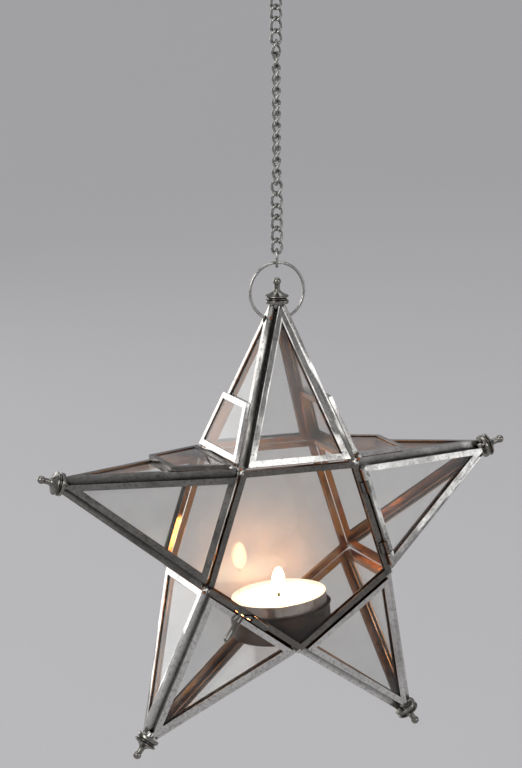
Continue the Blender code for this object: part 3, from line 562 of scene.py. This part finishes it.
def blob(name, place, radius, material, seed):
    """Uneven bead on the star, for solder and for the painted glint spots."""
    mesh = bpy.data.meshes.new(name)
    shape = bmesh.new()
    bmesh.ops.create_icosphere(shape, subdivisions=3, radius=1.0)
    for vert in shape.verts:
        swell = 1.0 + BEAD_SWELL * noise.noise(vert.co * BEAD_LUMPS + Vector((seed * BEAD_SHIFT, 0, 0)))
        vert.co = vert.co * swell * radius
    shape.to_mesh(mesh)
    shape.free()
    mesh.shade_smooth()
    mesh.materials.append(material)
    attach(show(name, mesh, Matrix.Translation(place)), "star")


def arc(centre_x, centre_z, radius, start, end, steps):
    """Points along an arc, both ends included."""
    points = []
    for step in range(steps + 1):
        angle = start + (end - start) * step / steps
        points.append((centre_x + radius * math.cos(angle), centre_z + radius * math.sin(angle)))
    return points


def oval(half_width, half_length):
    """Points around a link: an oval a little fuller than an ellipse."""
    points = []
    for step in range(LINK_POINTS):
        angle = 2 * math.pi * step / LINK_POINTS
        across = math.copysign(abs(math.cos(angle)) ** OVAL_POWER, math.cos(angle))
        up = math.copysign(abs(math.sin(angle)) ** OVAL_POWER, math.sin(angle))
        points.append((half_width * across, half_length * up))
    return points


def upright(points):
    """Points of a flat outline, stood up in the XZ plane."""
    return [(x, 0, z) for x, z in points]


# Places on the star
def point_matrix(name):
    """A point's own axes: Z along the point, from the star's centre to its tip."""
    return STAR @ Matrix.Rotation(-2 * POINT_NAMES.index(name) * EDGE_ANGLE, 4, 'Y')


def side_matrix(point, sign):
    """X along the base of a point's right (1) or left (-1) side face, Y up its slope, Z out of it."""
    slope = Vector((-sign * BASE_HALF, 0, RISE)).normalized()
    across = Vector((0, sign, 0))
    turn = Matrix((across, slope, across.cross(slope))).transposed().to_4x4()
    return point_matrix(point) @ Matrix.Translation((sign * BASE_HALF, 0, BASE_HEIGHT)) @ turn


def around_star(radius, angle, depth):
    """A place at an angle from the star's right, at a depth behind its middle plane."""
    return Vector((radius * math.cos(angle), depth, STAR_Z + radius * math.sin(angle)))


# Pieces
def dress_star():
    """Channels, hoods, panes, cup and tealight."""
    for node in sorted(NODES):
        if node.endswith("_pane"):
            paint(node, {"door_pane": DOOR_GLASS, "back_pane": BACK_GLASS}.get(node, GLASS))
        elif node.endswith("point_frame") or node == "back_frame":
            # Painted light and shade: the lower frames get the lit copy, the left frame the shaded one
            look = LIT_SILVER if node.startswith("lower") else SHADED_SILVER if node.startswith("left") else SILVER
            dress(node, look, "star", CHANNEL_EDGE)
        elif node.endswith("hood_frame"):
            dress(node, SHADED_DOOR_SILVER if node.startswith("left") else LIT_HOOD_SILVER, "star", CHANNEL_EDGE)
    dress("door_frame", SHADED_DOOR_SILVER, "door", CHANNEL_EDGE)
    dress("door_hinge_pin", FINIALS, "star", PIN_EDGE)
    dress("door_pull_loop", FINIALS, "pull")
    dress("candle_cup", CUP, "star")
    for node, material in (("tealight_cup", FOIL), ("tealight_wax", WAX), ("tealight_wick", WICK)):
        paint(node, material)
        smooth(NODES[node].data, TEALIGHT_SHARP)


def make_finials():
    """Turned finials: ball, neck, flare, flange, groove and cap."""
    reach = (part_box("top_finial")[1] - STAR_CENTRE).z
    cap = reach - FINIAL_LENGTH
    top = cap + CAP_HEIGHT
    flange = top + GROOVE_HEIGHT
    profile = arc(0, reach - BALL_RADIUS, BALL_RADIUS, math.pi / 2, -math.pi / 4, 14)
    profile.append((NECK_RADIUS, flange + NECK_HEIGHT))
    for step in range(FLARE_RINGS + 1):
        fall = step / FLARE_RINGS
        radius = FLARE_TOP + FLARE_SPREAD * fall ** FLARE_POWER
        profile.append((radius, flange + FLANGE_HEIGHT + FLARE_HEIGHT * (1 - fall)))
    profile += arc(FLANGE_RADIUS, flange + EDGE_ROUND, EDGE_ROUND, math.pi / 2, -math.pi / 2, 6)
    profile += arc(CAP_RADIUS, (flange + top) / 2, GROOVE_ROUND, math.radians(125), math.radians(235), 6)
    profile += arc(CAP_RADIUS, top - EDGE_ROUND, EDGE_ROUND, math.pi / 2, 0, 4)
    profile += arc(CAP_RADIUS, cap + EDGE_ROUND, EDGE_ROUND, 0, -math.pi / 2, 4)
    profile += [(CAP_BORE, cap), (CAP_BORE, cap + CAP_BORE_DEPTH), (0, cap + CAP_BORE_DEPTH)]
    for name in POINT_NAMES:
        turned(name + "_finial_fine", profile, point_matrix(name), FINIAL_STEPS, FINIALS, "star",
               node=name + "_finial")


def link_yaw(index):
    """The chain's twist at a link: two quarter turns, each eased over a few links."""
    yaw = 0.0
    for centre in YAW_CENTRES:
        share = min(max((index - centre) / YAW_LINKS + 0.5, 0.0), 1.0)
        yaw += math.pi / 2 * share * share * (3 - 2 * share)
    return yaw


def make_chain():
    """Smooth twisted links, the joining link and the ring."""
    path = []
    for across, up in oval(LINK_HALF_WIDTH, LINK_HALF_LENGTH):
        turn = LINK_TWIST * up / LINK_HALF_LENGTH
        path.append((across * math.cos(turn), across * math.sin(turn), up))
    eye_foot = -(HOOK_BOW + HOOK_WIRE + HOOK_DROP + HOOK_EYE)
    height = eye_foot + HOOK_WIRE + LINK_WIRE + PLAY - LINK_HALF_LENGTH
    for index in range(LINKS):
        leads = index % LINKS_PER_SEGMENT == 0
        if index:
            height += 2 * (LINK_WIRE - LINK_HALF_LENGTH) + (PLAY if leads else -LINK_BEARING)
        matrix = Matrix.Translation((0, 0, height)) @ Matrix.Rotation(link_yaw(index), 4, 'Z')
        segment = index // LINKS_PER_SEGMENT + 1
        wire("chain_link_%02d" % (index + 1), path, LINK_WIRE, CHAIN, "chain_%d" % segment, matrix,
             closed=True, node="chain_links_%d" % segment if leads else None)
    joining_yaw = (link_yaw(LINKS - 1) - LINK_TWIST) / 2
    centre = height - LINK_HALF_LENGTH + 2 * LINK_WIRE + PLAY - JOINING_HALF_LENGTH
    matrix = Matrix.Translation((0, 0, centre)) @ Matrix.Rotation(joining_yaw, 4, 'Z')
    wire("joining_link_fine", upright(oval(JOINING_HALF_WIDTH, JOINING_HALF_LENGTH)), LINK_WIRE, CHAIN,
         "joining", matrix, closed=True, node="joining_link")
    ring_centre = centre - JOINING_HALF_LENGTH + LINK_WIRE + RING_WIRE + PLAY - RING_RADIUS
    cut = RING_CUT / RING_RADIUS
    around = arc(0, 0, RING_RADIUS, RING_CUT_ANGLE + cut, RING_CUT_ANGLE + 2 * math.pi - cut, RING_POINTS)
    wire("hanging_ring_fine", upright(around), RING_WIRE, RING, "ring",
         Matrix.Translation((0, 0, ring_centre)), node="hanging_ring")


def make_hook():
    """S-shaped hook: an open bow above and a nearly closed eye below, two arcs that meet on one tangent."""
    bow_z = -(HOOK_BOW + HOOK_WIRE)
    cross = math.asin((HOOK_BOW + HOOK_EYE) / HOOK_DROP)
    path = arc(0, bow_z, HOOK_BOW, HOOK_MOUTH, -cross, 36)
    path += arc(0, bow_z - HOOK_DROP, HOOK_EYE, math.pi - cross, 3 * math.pi - cross - HOOK_EYE_GAP, 30)
    wire("hanging_hook_fine", upright(path), HOOK_WIRE, CHAIN, "hook",
         Matrix.Rotation(HOOK_YAW, 4, 'Z'), node="hanging_hook")


def make_flame():
    """Candle flame: an upright drop around the wick's tip."""
    profile = [(0, FLAME_HEIGHT)]
    for step in range(1, FLAME_RINGS):
        rise = 1 - step / FLAME_RINGS
        radius = FLAME_RADIUS * math.sin(math.pi * rise ** FLAME_BELLY) ** FLAME_BLUNT
        profile.append((radius, FLAME_HEIGHT * rise))
    profile.append((0, 0))
    turned("candle_flame", profile, Matrix.Translation(FLAME_FOOT), FLAME_STEPS, FIRE, "tealight")


def make_solder_and_glints():
    """Beads of solder at the notches and the hoods' corners, and a few orange spots as painted glints of
    light.
    """
    random.seed(SOLDER_SEED)
    places = []
    for index in range(len(POINT_NAMES)):
        angle = math.pi / 2 + EDGE_ANGLE + 2 * index * EDGE_ANGLE
        for end in (-1, 1):
            depth = end * (HALF_DEPTH - NOTCH_BEAD_BACK)
            places.append((around_star(NOTCH_RADIUS - NOTCH_BEAD_INSET, angle, depth), NOTCH_BEAD))
    for point, sign in HOOD_SIDES:
        for end in (-1, 1):
            corner = Vector((end * (HALF_DEPTH - HOOD_BEAD_INSET), HOOD_BEAD_UP, HOOD_BEAD_OUT))
            places.append((side_matrix(point, sign) @ corner, HOOD_BEAD))
    for number, (place, sizes) in enumerate(places, 1):
        blob("solder_bead_%02d" % number, place, random.uniform(*sizes), SOLDER, number)
    # Painted light: orange spots for glints of light at three notches and on one ridge
    spots = []
    for degrees, inset in GLINT_NOTCHES:
        spots.append(around_star(NOTCH_RADIUS + GLINT_OUT, math.radians(degrees), inset - HALF_DEPTH))
    ridge = Vector((-BASE_HALF, -HALF_DEPTH, BASE_HEIGHT)).lerp(Vector((0, 0, POINT_RADIUS)), RIDGE_SHARE)
    spots.append(STAR @ ridge + Vector((RIDGE_INSET, RIDGE_INSET, 0)))
    for number, (place, seed) in enumerate(zip(spots, GLINT_SEEDS), 1):
        blob("copper_spot_%d" % number, place, GLINT_RADIUS, GLINT_METAL, seed)


# Floor, light and camera
def make_floor():
    """Plain pale sweep: a floor that rises in a curve to a backdrop."""
    n = Material("pale_floor")
    n.surface({
        "Base Color": n.ramp(n.noise(3.0, 3.0), ((0.3, (0.27, 0.265, 0.27)), (0.7, (0.28, 0.275, 0.28)))),
        "Roughness": 0.9,
        "Emission Color": (0.98, 0.97, 1.0),
        "Emission Strength": n.math("MULTIPLY", n.seen(), SWEEP_EMISSION),
    })
    profile = [(SWEEP_FRONT, 0.0)]
    profile += arc(SWEEP_BACK - SWEEP_CURVE, SWEEP_CURVE, SWEEP_CURVE, -math.pi / 2, 0, 16)
    profile.append((SWEEP_BACK, SWEEP_TOP))
    mesh = bpy.data.meshes.new("sweep")
    shape = bmesh.new()
    left = [shape.verts.new((-SWEEP_HALF_WIDTH, y, z)) for y, z in profile]
    right = [shape.verts.new((SWEEP_HALF_WIDTH, y, z)) for y, z in profile]
    for index in range(len(profile) - 1):
        shape.faces.new((left[index], right[index], right[index + 1], left[index + 1]))
    shape.to_mesh(mesh)
    shape.free()
    mesh.shade_smooth()
    mesh.materials.append(n.material)
    sweep = show("sweep", mesh, Matrix.Translation((0, 0, -SWEEP_DROP)))


def make_light():
    """A grey world, and five soft boxes that face the star."""
    world = bpy.data.worlds.new("studio")
    bpy.context.scene.world = world
    world.use_nodes = True
    n = Tree(world.node_tree)
    background = n.tree.nodes["Background"]
    n.feed((0.60, 0.60, 0.62), background.inputs["Color"])
    n.feed(n.map_range(n.seen(), (0.0, 1.0), (WORLD_LIGHT, WORLD_SEEN)), background.inputs["Strength"])
    for name, offset, size, power, colour in LAMPS:
        lamp = bpy.data.lights.new(name, 'AREA')
        lamp.shape = 'RECTANGLE'
        lamp.size, lamp.size_y = size
        lamp.energy = power
        lamp.color = colour
        thing = show(name, lamp)
        thing.location = STAR_CENTRE + Vector(offset)
        thing.rotation_euler = (STAR_CENTRE - thing.location).to_track_quat('-Z', 'Y').to_euler()


def make_camera():
    """The photograph's camera, found from the star's corners and tips."""
    lens = bpy.data.cameras.new("camera")
    lens.sensor_width = SENSOR
    lens.lens = FOCAL_PIXELS * SENSOR / PICTURE_PIXELS
    lens.clip_end = CAMERA_REACH
    camera = show("camera", lens)
    yaw = Matrix.Rotation(math.radians(CAMERA_YAW), 4, 'Z')
    pitch = Matrix.Rotation(math.radians(90 - CAMERA_DOWN), 4, 'X')
    roll = Matrix.Rotation(math.radians(CAMERA_ROLL), 4, 'Z')
    place = Matrix.Translation((CAMERA_X, CAMERA_Y, STAR_Z + CAMERA_OVER_STAR))
    camera.matrix_world = place @ (yaw @ pitch @ roll)
    bpy.context.scene.camera = camera


dress_star()
make_finials()
make_chain()
make_hook()
make_flame()
make_solder_and_glints()
make_floor()
make_light()
make_camera()
bpy.context.scene.view_settings.view_transform = 'Standard'
bpy.context.view_layer.update()
